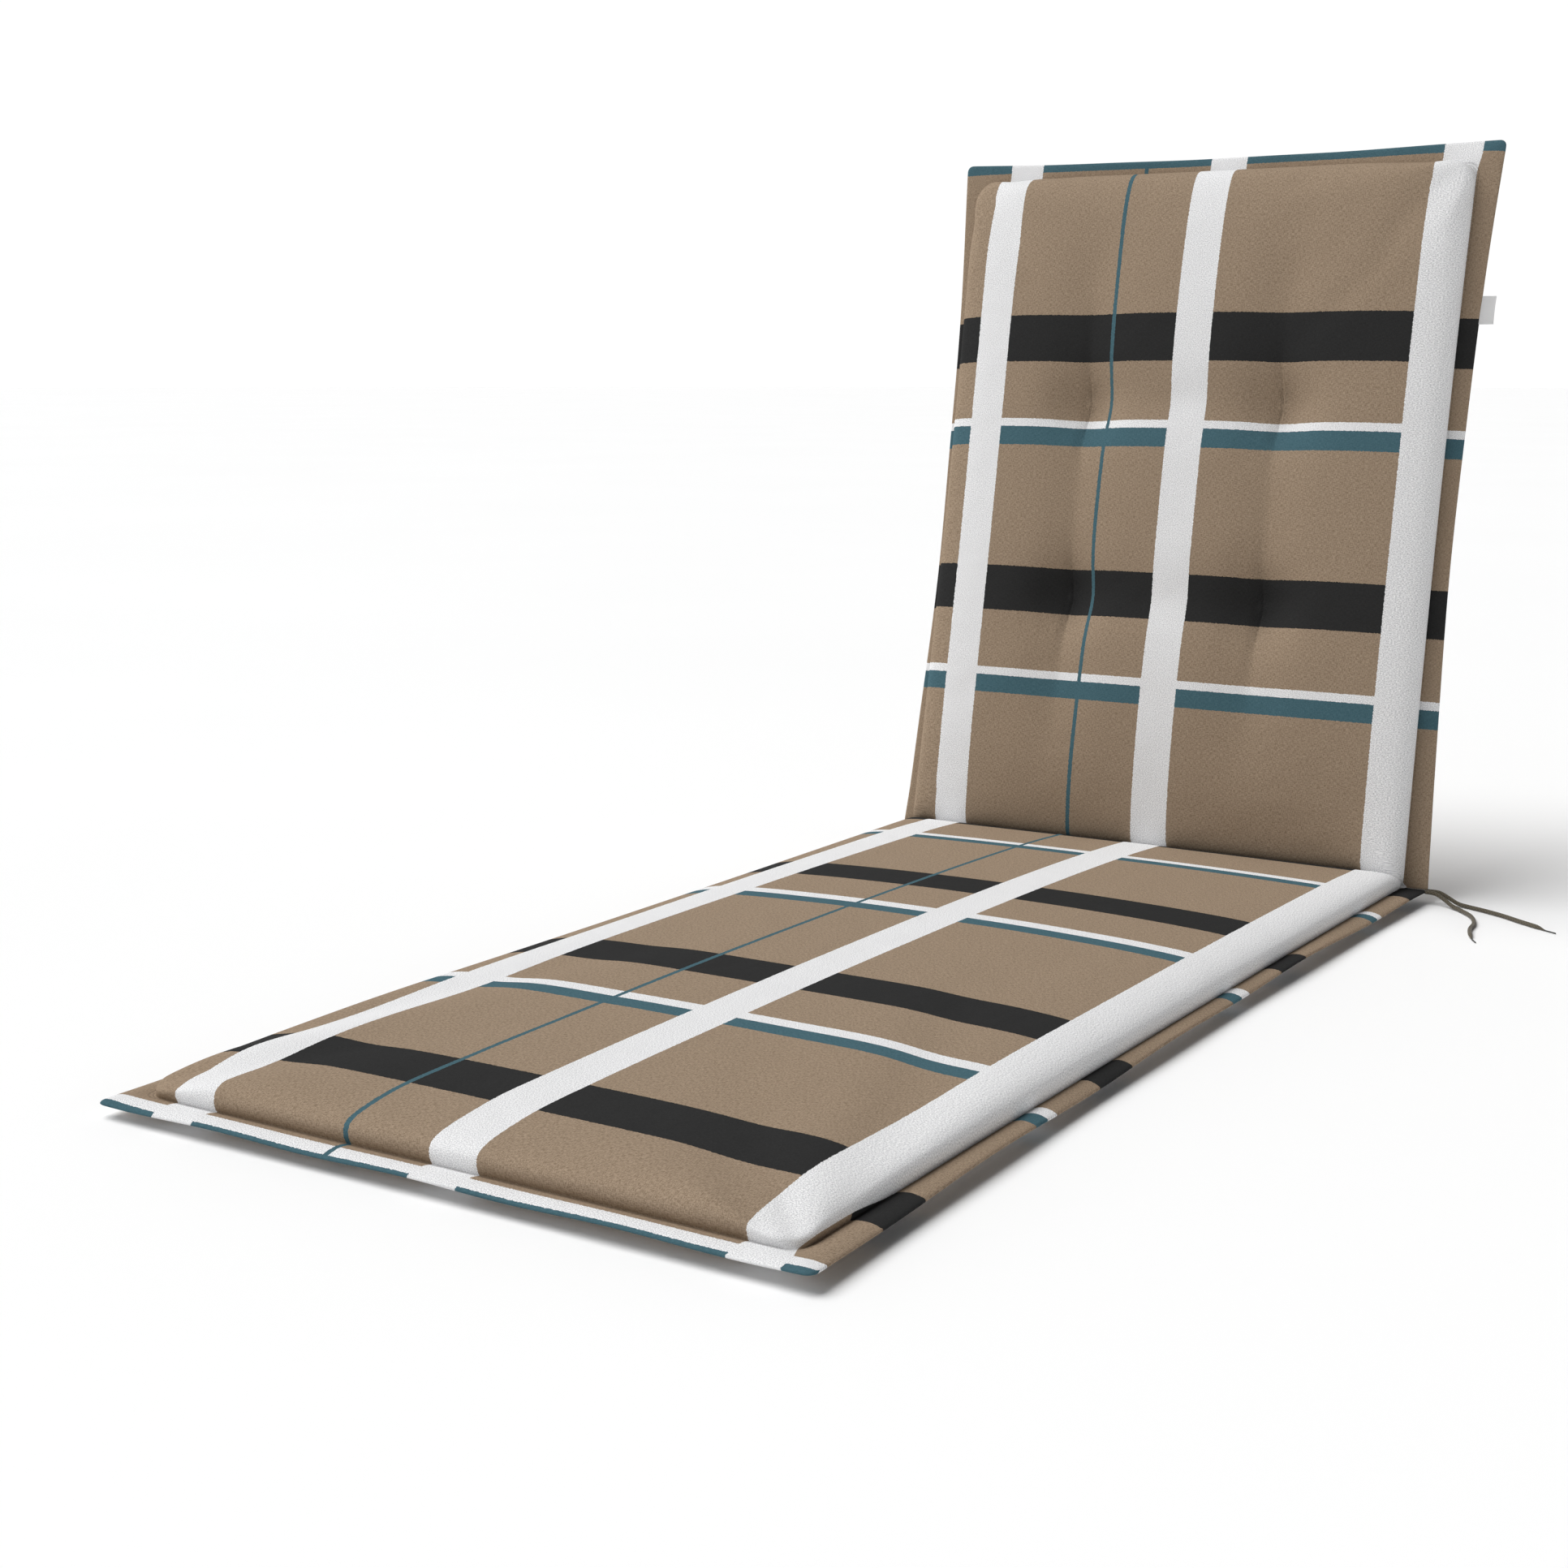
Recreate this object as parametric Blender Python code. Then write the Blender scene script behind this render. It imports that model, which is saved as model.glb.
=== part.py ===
"""Sun lounger cushion: a seat pad and a back pad with flat sewn borders, a blank label and a tie.

The cushion stands folded at its hinge seam, as it does in use: the seat lies flat on its underside and
the back leans backwards. Metres, Z up, foot end towards -Y, width along X.
"""
import math
from collections import namedtuple

import bmesh
import bpy
from mathutils import Matrix, Vector

# Overall sizes of the cushion
WIDTH = 0.600
SEAT_LENGTH = 1.166
BACK_LENGTH = 0.748
RECLINE = math.radians(10.3)

# Middle of the footprint, seen from the hinge line: it becomes the origin
FOOTPRINT_MIDDLE = (0.00293, -0.5137)

# Border: two layers of cloth sewn flat around each pad
BORDER_THICKNESS = 0.0024
BORDER_HEIGHT = 0.0120
BORDER_WIDTH = 0.0262
EDGE_DRAW_IN = 0.0115
BORDER_CURL = 1.4
END_SAG_POWER = 8

# The borders lie flat over this distance next to the hinge
HINGE_FLAT = 0.06

# The filling thins out within this distance of the free corners
PINCH_REACH = 0.045

# Filled pads: height over the border at the shoulder, and the crown above that
SEAT_SHOULDER = 0.0220
SEAT_CROWN = 0.0085
BACK_SHOULDER = 0.0333
BACK_CROWN = 0.0185
CROSSWISE_CROWN_POWER = 2.7
SEAT_CROWN_POWER = 2.4
BACK_CROWN_POWER = 4.0
UNDERSIDE_DEPTH = BORDER_HEIGHT - BORDER_THICKNESS / 2

# The pads part at the hinge along a plane at this angle over the seat, with this gap between them
PARTING_ANGLE = math.radians(31.0)
PARTING_GAP = 0.0004

# Stitched tufts of the back: where they are, how deep they pull, and the troughs that join them
TUFT_COLUMNS = (-0.108, 0.108)
TUFT_ROWS = (0.270, 0.477)
TUFT_DEPTH = 0.0150
TUFT_RADIUS = 0.036
TROUGH_DEPTH = 0.0080
TROUGH_WIDTH = 0.032
TROUGH_SPAN = (0.06, 0.70)
TROUGH_FADES = (0.12, 0.10)
VALLEY_DEPTH = 0.0050
VALLEY_WIDTH = 0.030
VALLEY_REACH = 0.180
VALLEY_FADE = 0.06
HOLLOW_DEPTH = 0.0060
HOLLOW_RADIUS = 0.200
HOLLOW_MIDDLE = 0.330

# Mesh steps: segments across, along the seat, along the back and around each corner
STEPS_ACROSS = 18
STEPS_SEAT = 20
STEPS_BACK = 22
CORNER_STEPS = 4

# Label, sewn into the right border of the back
LABEL_LENGTH = 0.028
LABEL_REACH = 0.0138
LABEL_THICKNESS = 0.0008
LABEL_MIDDLE = 0.5785
LABEL_SETBACK = 0.0015
LABEL_GAP = 0.0010

# The corners at the hinge are this much tighter than the free ones
HINGE_CORNER_SHARE = 0.3

# Tie cord: two free ends from the right corner of the hinge
TIE_DIAMETER = 0.0040
TIE_SIDES_RESOLUTION = 2
TIE_POINT_SPACING = 0.0100
TIE_SAMPLES = 40

Pad = namedtuple("Pad", "name direction length shoulder crown crown_power rows hinge_column end_sag "
                        "droop arch pinch")
Ring = namedtuple("Ring", "inset seat_hinge back_hinge height corner draw_in")
Wave = namedtuple("Wave", "height across along")

# Soft waves of the border: height, and turns in radians per metre across and along the pad
BORDER_WAVES = (
    Wave(0.0012, 4.0, 21.0),
    Wave(0.0008, 37.0, -9.0),
)

# Rings of the upper side, from the rim over the seam and the bulging wall to the shoulder
UPPER_RINGS = (
    Ring(0.0000, 0.0010, 0.0006, 0.00, 0.007, 1.00),
    Ring(0.0080, 0.0025, 0.0012, 0.00, 0.008, 0.80),
    Ring(0.0170, 0.0045, 0.0020, 0.00, 0.009, 0.55),
    Ring(0.0262, 0.0070, 0.0028, 0.00, 0.011, 0.30),
    Ring(0.0228, 0.0105, 0.0046, 0.22, 0.022, 0.30),
    Ring(0.0218, 0.0140, 0.0070, 0.46, 0.025, 0.30),
    Ring(0.0238, 0.0190, 0.0100, 0.70, 0.027, 0.30),
    Ring(0.0290, 0.0265, 0.0155, 0.88, 0.030, 0.30),
    Ring(0.0390, 0.0370, 0.0270, 0.97, 0.030, 0.25),
    Ring(0.0570, 0.0560, 0.0560, 1.00, 0.000, 0.20),
)

# Rings of the underside: the height column is the share of the depth below the border
LOWER_RINGS = (
    Ring(0.0000, 0.0010, 0.0006, 0.00, 0.007, 1.00),
    Ring(0.0080, 0.0025, 0.0012, 0.00, 0.008, 0.80),
    Ring(0.0170, 0.0045, 0.0020, 0.00, 0.009, 0.55),
    Ring(0.0262, 0.0070, 0.0028, 0.00, 0.011, 0.30),
    Ring(0.0290, 0.0120, 0.0100, 0.45, 0.022, 0.30),
    Ring(0.0360, 0.0220, 0.0200, 0.82, 0.026, 0.30),
    Ring(0.0500, 0.0360, 0.0340, 1.00, 0.028, 0.25),
    Ring(0.0700, 0.0560, 0.0560, 1.00, 0.000, 0.20),
)

SEAT = Pad("seat_pad", -1, SEAT_LENGTH, SEAT_SHOULDER, SEAT_CROWN, SEAT_CROWN_POWER, STEPS_SEAT,
           "seat_hinge", end_sag=0.0010, droop=0.0, arch=0.0022, pinch=0.45)
BACK = Pad("back_pad", 1, BACK_LENGTH, BACK_SHOULDER, BACK_CROWN, BACK_CROWN_POWER, STEPS_BACK,
           "back_hinge", end_sag=0.0095, droop=0.0020, arch=0.0, pinch=0.25)

# Routes of the tie's free ends in the hinge line's frame: x, y and height over the surface
TIE_LONG_ROUTE = (
    (0.3008, -0.0060, 0.0120),
    (0.3100, -0.0075, 0.0115),
    (0.3200, -0.0110, 0.0075),
    (0.3300, -0.0170, 0.0034),
    (0.3400, -0.0250, 0.0024),
    (0.3560, -0.0450, 0.0024),
    (0.3660, -0.0700, 0.0024),
    (0.3700, -0.0980, 0.0024),
    (0.3790, -0.1250, 0.0024),
    (0.3870, -0.1390, 0.0024),
)
TIE_SHORT_ROUTE = (
    (0.3008, -0.0004, 0.0120),
    (0.3110, 0.0004, 0.0115),
    (0.3210, -0.0004, 0.0075),
    (0.3310, -0.0026, 0.0034),
    (0.3420, -0.0060, 0.0024),
    (0.3620, -0.0150, 0.0024),
    (0.3830, -0.0270, 0.0024),
    (0.4040, -0.0420, 0.0024),
    (0.4260, -0.0560, 0.0024),
    (0.4410, -0.0640, 0.0024),
)


def clear_scene():
    """Removes whatever the scene holds."""
    for item in list(bpy.data.objects):
        bpy.data.objects.remove(item, do_unlink=True)


def new_collection(name):
    """Makes a collection and links it to the scene."""
    collection = bpy.data.collections.new(name)
    bpy.context.scene.collection.children.link(collection)
    return collection


def new_material(name, colour, roughness):
    """Makes a Principled material with a plain colour."""
    material = bpy.data.materials.new(name)
    material.use_nodes = True
    shader = material.node_tree.nodes["Principled BSDF"]
    shader.inputs["Base Color"].default_value = (*colour, 1.0)
    shader.inputs["Roughness"].default_value = roughness
    shader.inputs["Metallic"].default_value = 0.0
    material.diffuse_color = (*colour, 1.0)
    return material


def draw_in_at(pad, along):
    """How far the border's side edge is drawn in, at a distance from the hinge."""
    return EDGE_DRAW_IN * (1.0 - (2.0 * along / pad.length - 1.0) ** 2)


def warp(pad, ring, x, along):
    """Draws the sides in and hollows the free end, leaving the corners standing out as ears."""
    half = WIDTH / 2
    narrowed = x * (1.0 - ring.draw_in * draw_in_at(pad, along) / half)
    hollow = pad.end_sag * ring.draw_in * (1.0 - (x / half) ** 2) * (along / pad.length) ** END_SAG_POWER
    return narrowed, along - hollow


def crown_at(pad, x, along):
    """Height of the filled crown over the shoulder."""
    across = min(abs(x) / (WIDTH / 2 - BORDER_WIDTH), 1.0)
    lengthwise = min(abs(2.0 * along / pad.length - 1.0), 1.0)
    return pad.crown * (1.0 - across ** CROSSWISE_CROWN_POWER) * (1.0 - lengthwise ** pad.crown_power)


def smooth_step(low, high, value):
    """Rises smoothly from 0 at low to 1 at high."""
    share = min(max((value - low) / (high - low), 0.0), 1.0)
    return share * share * (3.0 - 2.0 * share)


def bell(distance, width):
    """A soft bump of height 1 with the given width."""
    return math.exp(-((distance / width) ** 2))


def tufting_at(x, along):
    """How deep the tufts of the back pull the cloth: dimples, troughs, valleys and a wide hollow."""
    low, high = TROUGH_SPAN
    low_fade, high_fade = TROUGH_FADES
    trough_reach = smooth_step(low, low + low_fade, along)
    trough_reach *= 1.0 - smooth_step(high - high_fade, high, along)
    valley_reach = 1.0 - smooth_step(VALLEY_REACH - VALLEY_FADE, VALLEY_REACH, abs(x))
    depth = HOLLOW_DEPTH * bell(math.hypot(x, along - HOLLOW_MIDDLE), HOLLOW_RADIUS)
    for column in TUFT_COLUMNS:
        depth += TROUGH_DEPTH * trough_reach * bell(x - column, TROUGH_WIDTH)
    for row in TUFT_ROWS:
        depth += VALLEY_DEPTH * valley_reach * bell(along - row, VALLEY_WIDTH)
        for column in TUFT_COLUMNS:
            depth += TUFT_DEPTH * bell(math.hypot(x - column, along - row), TUFT_RADIUS)
    return depth


def border_bend(pad, inset, x, along):
    """Arch and droop of the border between seam and rim, with a soft wave along it."""
    share = max(0.0, 1.0 - inset / BORDER_WIDTH)
    waves = sum(wave.height * math.sin(wave.across * x + wave.along * along) for wave in BORDER_WAVES)
    arched = pad.arch * (1.0 - (2.0 * share - 1.0) ** 2)
    return ((waves - pad.droop) * share ** BORDER_CURL + arched) * smooth_step(0.0, HINGE_FLAT, along)


def fullness_at(pad, x, along):
    """Share of the filling's height that is left: 1 but for the pinched free corners."""
    beside = WIDTH / 2 - BORDER_WIDTH - abs(x)
    before = pad.length - BORDER_WIDTH - along
    return 1.0 - pad.pinch * bell(math.hypot(beside, before), PINCH_REACH)


def parting_limit(pad, along):
    """Height under which the pad stays clear of the other pad at the hinge."""
    angle = PARTING_ANGLE if pad is SEAT else math.pi / 2 + RECLINE - PARTING_ANGLE
    return along * math.tan(angle) - PARTING_GAP / (2.0 * math.cos(angle))


def upper_point(pad, ring, x, along):
    """A point of the upper side in the pad's plane frame."""
    warped_x, warped_along = warp(pad, ring, x, along)
    height = BORDER_THICKNESS / 2 + border_bend(pad, ring.inset, x, along)
    pulled = tufting_at(x, along) if pad is BACK else 0.0
    filled = fullness_at(pad, x, along) * (pad.shoulder + crown_at(pad, x, along) - pulled)
    height += ring.height * filled
    return Vector((warped_x, pad.direction * warped_along, min(height, parting_limit(pad, along))))


def lower_point(pad, ring, x, along):
    """A point of the underside in the pad's plane frame."""
    warped_x, warped_along = warp(pad, ring, x, along)
    height = -BORDER_THICKNESS / 2 + border_bend(pad, ring.inset, x, along)
    height -= ring.height * UNDERSIDE_DEPTH
    return Vector((warped_x, pad.direction * warped_along, max(height, -BORDER_HEIGHT)))


def side_steps(low, high, count):
    """Even steps from low to high."""
    return [low + (high - low) * step / count for step in range(count + 1)]


def ring_plan(pad, ring):
    """Plan points of one ring: four straight sides and four corner arcs, all rings in the same order."""
    half = WIDTH / 2 - ring.inset
    near = getattr(ring, pad.hinge_column)
    far = pad.length - ring.inset
    near_corner = HINGE_CORNER_SHARE * ring.corner
    sides = (
        [(x, near) for x in side_steps(-half + near_corner, half - near_corner, STEPS_ACROSS)],
        [(half, along) for along in side_steps(near + near_corner, far - ring.corner, pad.rows)],
        [(x, far) for x in side_steps(half - ring.corner, -half + ring.corner, STEPS_ACROSS)],
        [(-half, along) for along in side_steps(far - ring.corner, near + near_corner, pad.rows)],
    )
    corners = (
        (half - near_corner, near + near_corner, near_corner, -90.0),
        (half - ring.corner, far - ring.corner, ring.corner, 0.0),
        (-half + ring.corner, far - ring.corner, ring.corner, 90.0),
        (-half + near_corner, near + near_corner, near_corner, 180.0),
    )
    plan = []
    for side, (middle_x, middle_along, radius, start) in zip(sides, corners):
        plan += side
        for step in range(1, CORNER_STEPS):
            angle = math.radians(start + 90.0 * step / CORNER_STEPS)
            plan.append((middle_x + radius * math.cos(angle), middle_along + radius * math.sin(angle)))
    return plan


def bridge(mesh, outer, inner):
    """Joins two rings with faces, as triangles where corner points fall together."""
    for index in range(len(outer)):
        following = (index + 1) % len(outer)
        corners = []
        for vertex in (outer[index], outer[following], inner[following], inner[index]):
            if vertex not in corners:
                corners.append(vertex)
        if len(corners) > 2:
            mesh.faces.new(corners)


def inner_grid(mesh, pad, ring, place):
    """Fills the square-cornered last ring with a grid and returns its edge in ring order."""
    half = WIDTH / 2 - ring.inset
    columns = side_steps(-half, half, STEPS_ACROSS)
    rows = side_steps(getattr(ring, pad.hinge_column), pad.length - ring.inset, pad.rows)
    grid = [[mesh.verts.new(place(pad, ring, x, along)) for x in columns] for along in rows]
    for lower, upper in zip(grid, grid[1:]):
        for left in range(STEPS_ACROSS):
            mesh.faces.new((lower[left], lower[left + 1], upper[left + 1], upper[left]))
    right = [row[-1] for row in grid]
    left = [row[0] for row in grid]
    edge = []
    for side in (grid[0], right, grid[-1][::-1], left[::-1]):
        edge += side + [side[-1]] * (CORNER_STEPS - 1)
    return edge


def add_surface(mesh, pad, rings, place):
    """Adds one side of the pad and returns the vertices of its rim."""
    loops = [[mesh.verts.new(place(pad, ring, x, along)) for x, along in ring_plan(pad, ring)]
             for ring in rings[:-1]]
    loops.append(inner_grid(mesh, pad, rings[-1], place))
    for outer, inner in zip(loops, loops[1:]):
        bridge(mesh, outer, inner)
    return loops[0]


def make_pad(pad, placement, material, collection):
    """Builds a pad as one closed body: upper side, underside and the thin rim between them."""
    mesh = bmesh.new()
    upper_rim = add_surface(mesh, pad, UPPER_RINGS, upper_point)
    lower_rim = add_surface(mesh, pad, LOWER_RINGS, lower_point)
    bridge(mesh, upper_rim, lower_rim)
    bmesh.ops.recalc_face_normals(mesh, faces=mesh.faces)
    data = bpy.data.meshes.new(pad.name)
    mesh.to_mesh(data)
    mesh.free()
    data.shade_smooth()
    data.materials.append(material)
    part = bpy.data.objects.new(pad.name, data)
    part.matrix_world = placement
    collection.objects.link(part)
    return part


def make_label(placement, material, collection):
    """Builds the blank label as a thin tab that leaves the right border."""
    bpy.ops.mesh.primitive_cube_add(size=1.0)
    label = bpy.context.active_object
    label.name = "label"
    seam = WIDTH / 2 - draw_in_at(BACK, LABEL_MIDDLE)
    middle = Vector((seam + (LABEL_GAP + LABEL_REACH) / 2, LABEL_MIDDLE, -LABEL_SETBACK))
    size = Matrix.Diagonal((LABEL_REACH - LABEL_GAP, LABEL_LENGTH, LABEL_THICKNESS, 1.0))
    label.data.transform(Matrix.Translation(middle) @ size)
    label.matrix_world = placement
    label.data.materials.append(material)
    for owner in list(label.users_collection):
        owner.objects.unlink(label)
    collection.objects.link(label)
    return label


def smooth_route(route):
    """Reads points at an even spacing from a smooth curve through the route's own points."""
    points = [Vector(point) for point in route]
    ends = [2 * points[0] - points[1]] + points + [2 * points[-1] - points[-2]]
    fine = []
    for before, start, finish, after in zip(ends, ends[1:], ends[2:], ends[3:]):
        for step in range(TIE_SAMPLES):
            share = step / TIE_SAMPLES
            fine.append(0.5 * (2 * start + (finish - before) * share
                               + (2 * before - 5 * start + 4 * finish - after) * share ** 2
                               + (3 * start - before - 3 * finish + after) * share ** 3))
    fine.append(points[-1])
    reached = [0.0]
    for previous, point in zip(fine, fine[1:]):
        reached.append(reached[-1] + (point - previous).length)
    count = round(reached[-1] / TIE_POINT_SPACING)
    chosen = []
    for step in range(count + 1):
        target = reached[-1] * step / count
        index = min(range(len(reached)), key=lambda item: abs(reached[item] - target))
        chosen.append(fine[index])
    return chosen


def make_tie(name, route, material, collection):
    """Builds one free end of the tie as a filled tube along its route."""
    points = smooth_route(route)
    data = bpy.data.curves.new(name, "CURVE")
    data.dimensions = "3D"
    data.bevel_depth = TIE_DIAMETER / 2
    data.bevel_resolution = TIE_SIDES_RESOLUTION
    data.use_fill_caps = True
    spline = data.splines.new("POLY")
    spline.points.add(len(points) - 1)
    for target, point in zip(spline.points, points):
        target.co = (*point, 1.0)
    data.materials.append(material)
    tie = bpy.data.objects.new(name, data)
    tie.location = (-FOOTPRINT_MIDDLE[0], -FOOTPRINT_MIDDLE[1], 0.0)
    collection.objects.link(tie)
    return tie


def main():
    """Builds the whole cushion."""
    clear_scene()
    cushion = new_collection("sun_lounger_cushion")
    seat_cloth = new_material("seat_cloth", (0.29, 0.22, 0.15), 0.85)
    back_cloth = new_material("back_cloth", (0.27, 0.20, 0.14), 0.85)
    label_tape = new_material("label_tape", (0.80, 0.80, 0.80), 0.70)
    tie_cord = new_material("tie_cord", (0.11, 0.09, 0.06), 0.75)

    # Both pads start from the hinge line: the seat runs towards the foot, the back runs up from it
    hinge_line = Matrix.Translation((-FOOTPRINT_MIDDLE[0], -FOOTPRINT_MIDDLE[1], BORDER_HEIGHT))
    back_frame = hinge_line @ Matrix.Rotation(math.pi / 2 - RECLINE, 4, "X")
    make_pad(SEAT, hinge_line, seat_cloth, cushion)
    make_pad(BACK, back_frame, back_cloth, cushion)
    make_label(back_frame, label_tape, cushion)
    make_tie("tie_long", TIE_LONG_ROUTE, tie_cord, cushion)
    make_tie("tie_short", TIE_SHORT_ROUTE, tie_cord, cushion)


main()
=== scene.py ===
"""Looks of a sun lounger cushion: filled pads in a woven check, a blank tab and a tie.

Lengths are in metres in the cushion's own frame: foot end towards -Y, width along X, Z up.
"""

import math
from collections import namedtuple

import bmesh
import bpy
import numpy as np
from bpy.props import FloatProperty, FloatVectorProperty, PointerProperty
from mathutils import Matrix, Vector


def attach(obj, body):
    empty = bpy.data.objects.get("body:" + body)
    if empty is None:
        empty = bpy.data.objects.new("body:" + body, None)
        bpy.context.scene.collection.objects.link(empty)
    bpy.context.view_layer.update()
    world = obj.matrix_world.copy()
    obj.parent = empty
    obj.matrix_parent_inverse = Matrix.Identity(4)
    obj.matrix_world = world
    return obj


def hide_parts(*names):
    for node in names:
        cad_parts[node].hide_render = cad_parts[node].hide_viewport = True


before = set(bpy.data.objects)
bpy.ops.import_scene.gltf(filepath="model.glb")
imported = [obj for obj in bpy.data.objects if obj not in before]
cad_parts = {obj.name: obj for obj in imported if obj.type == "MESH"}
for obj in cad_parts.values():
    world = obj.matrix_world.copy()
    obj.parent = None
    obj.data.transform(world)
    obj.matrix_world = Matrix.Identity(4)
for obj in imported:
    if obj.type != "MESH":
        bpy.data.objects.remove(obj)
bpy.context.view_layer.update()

bl_info = {
    "name": "Sun lounger cushion",
    "version": (1, 0, 0),
    "blender": (4, 5, 0),
    "location": "View3D > Sidebar > Cushion",
    "description": "Builds the cover, tab and tie of a lounger cushion around its solids",
    "category": "Add Mesh",
}

# Sizes of the cushion
WIDTH = 0.600
SEAT_LENGTH = 1.166
BACK_LENGTH = 0.748
RECLINE = math.radians(10.3)
FOOTPRINT_MIDDLE = (0.00293, -0.5137)

# Border: two layers of cloth sewn flat around each pad
BORDER_THICKNESS = 0.0024
BORDER_HEIGHT = 0.0120
BORDER_WIDTH = 0.0262
EDGE_DRAW_IN = 0.0115
BORDER_CURL = 1.4
END_SAG_POWER = 8
HINGE_FLAT = 0.06
PINCH_REACH = 0.045

# Filled pads
SEAT_SHOULDER = 0.0220
SEAT_CROWN = 0.0085
BACK_SHOULDER = 0.0333
BACK_CROWN = 0.0185
CROSSWISE_CROWN_POWER = 2.7
SEAT_CROWN_POWER = 2.4
BACK_CROWN_POWER = 4.0
UNDERSIDE_DEPTH = BORDER_HEIGHT - BORDER_THICKNESS / 2
PARTING_ANGLE = math.radians(31.0)
PARTING_GAP = 0.0004

# Tufts of the back
TUFT_COLUMNS = (-0.108, 0.108)
TUFT_ROWS = (0.270, 0.477)
TUFT_DEPTH = 0.0150
TUFT_RADIUS = 0.036
TROUGH_DEPTH = 0.0080
TROUGH_WIDTH = 0.032
TROUGH_SPAN = (0.06, 0.70)
TROUGH_FADES = (0.12, 0.10)
VALLEY_DEPTH = 0.0050
VALLEY_WIDTH = 0.030
VALLEY_REACH = 0.180
VALLEY_FADE = 0.06
HOLLOW_DEPTH = 0.0060
HOLLOW_RADIUS = 0.200
HOLLOW_MIDDLE = 0.330

# Mesh steps before the one subdivision
STEPS_ACROSS = 54
STEPS_SEAT = 84
STEPS_BACK = 72
CORNER_STEPS = 6
HINGE_CORNER_SHARE = 0.3
SEAM_CREASE = 0.9

# Cloth coordinates: where the seam is, measured across the cloth
SEAM_ACROSS = 0.2775
FOOT_EXTRA_CLOTH = 0.009
FOOT_EXTRA_SPAN = (1.01, 1.13)
UV_MAPS = ("cloth", "weave", "seam")

# The hem of a free end is turned further under between its corners: by how much, and from where on
HEM_POWER = 8
HEM_REACH = 0.028

# Filling: the cover swells under this pressure as real cloth, each point by no more than the cap; its
# wrinkles and its broad swelling are kept by these shares
FILL_PRESSURE = 4.0
FILL_FRAMES = 20
FILL_CAP = 0.0050
WRINKLE_SHARE = 0.28
SWELL_SHARE = 0.10
SPREAD_ROUNDS = 50
FILL_QUALITY = 5
FILL_MASS = 0.3
FILL_STIFFNESS = 30.0
FILL_BENDING = 2.0
TUFT_HOLD_RADIUS = 0.007

Pad = namedtuple("Pad", "node direction length shoulder crown crown_power rows hinge_column end_sag "
                        "droop arch pinch hem")
Ring = namedtuple("Ring", "inset seat_hinge back_hinge height corner draw_in")
Wave = namedtuple("Wave", "height across along")
Band = namedtuple("Band", "low high")
Crease = namedtuple("Crease", "width length depth")

BORDER_WAVES = (
    Wave(0.0012, 4.0, 21.0),
    Wave(0.0008, 37.0, -9.0),
)

# Rings from the rim over the border to the seam, and on over the walls
BORDER_RINGS = (
    Ring(0.0000, 0.0010, 0.0006, 0.00, 0.007, 1.00),
    Ring(0.0080, 0.0025, 0.0012, 0.00, 0.008, 0.80),
    Ring(0.0170, 0.0045, 0.0020, 0.00, 0.009, 0.55),
    Ring(0.0262, 0.0070, 0.0028, 0.00, 0.011, 0.30),
)
UPPER_RINGS = BORDER_RINGS + (
    Ring(0.0228, 0.0105, 0.0046, 0.22, 0.022, 0.30),
    Ring(0.0218, 0.0140, 0.0070, 0.46, 0.025, 0.30),
    Ring(0.0238, 0.0190, 0.0100, 0.70, 0.027, 0.30),
    Ring(0.0290, 0.0265, 0.0155, 0.88, 0.030, 0.30),
    Ring(0.0390, 0.0370, 0.0270, 0.97, 0.030, 0.25),
    Ring(0.0570, 0.0560, 0.0560, 1.00, 0.000, 0.20),
)
LOWER_RINGS = BORDER_RINGS + (
    Ring(0.0290, 0.0120, 0.0100, 0.45, 0.022, 0.30),
    Ring(0.0360, 0.0220, 0.0200, 0.82, 0.026, 0.30),
    Ring(0.0500, 0.0360, 0.0340, 1.00, 0.028, 0.25),
    Ring(0.0700, 0.0560, 0.0560, 1.00, 0.000, 0.20),
)
SEAM_RING = len(BORDER_RINGS) - 1

SEAT = Pad("seat_pad", -1, SEAT_LENGTH, SEAT_SHOULDER, SEAT_CROWN, SEAT_CROWN_POWER, STEPS_SEAT,
           "seat_hinge", end_sag=0.0010, droop=0.0, arch=0.0022, pinch=0.45, hem=0.0045)
BACK = Pad("back_pad", 1, BACK_LENGTH, BACK_SHOULDER, BACK_CROWN, BACK_CROWN_POWER, STEPS_BACK,
           "back_hinge", end_sag=0.0050, droop=0.0020, arch=0.0, pinch=0.25, hem=0.0030)

# The check: lengthwise stripes across the cloth, and cross bands by their distance from the hinge
WHITE_STRIPES = (Band(-0.2436, -0.2051), Band(-0.0082, 0.0319), Band(0.2395, 0.2783))
TEAL_STRIPES = (Band(-0.0835, -0.0790),)
SEAT_BLACK = (Band(-0.006, 0.053), Band(0.325, 0.383), Band(0.694, 0.752), Band(1.023, 1.080))
SEAT_WHITE = (Band(0.130, 0.142), Band(0.456, 0.4725), Band(0.826, 0.841), Band(1.149, 1.159))
SEAT_TEAL = (Band(0.142, 0.157), Band(0.4725, 0.4915), Band(0.841, 0.860), Band(1.159, 1.200))
BACK_BLACK = (Band(0.520, 0.570), Band(0.250, 0.2985))
BACK_WHITE = (Band(0.450, 0.4585), Band(0.179, 0.1875))
BACK_TEAL = (Band(0.430, 0.450), Band(0.160, 0.179), Band(0.736, 0.800))

# Weave: the real threads are about 0.6 mm apart, drawn as flecks about 1 mm apart so that they show
THREAD_STEP = 0.0005
WEFT_LENGTH = 0.0034
WARP_LENGTH = 0.0030
SPECK_SIZE = (0.0010, 0.0008)
EDGE_WAVER = 0.0014
EDGE_WAVER_SCALE = 700.0
CLOTH_SPECULAR = 0.04

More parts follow.
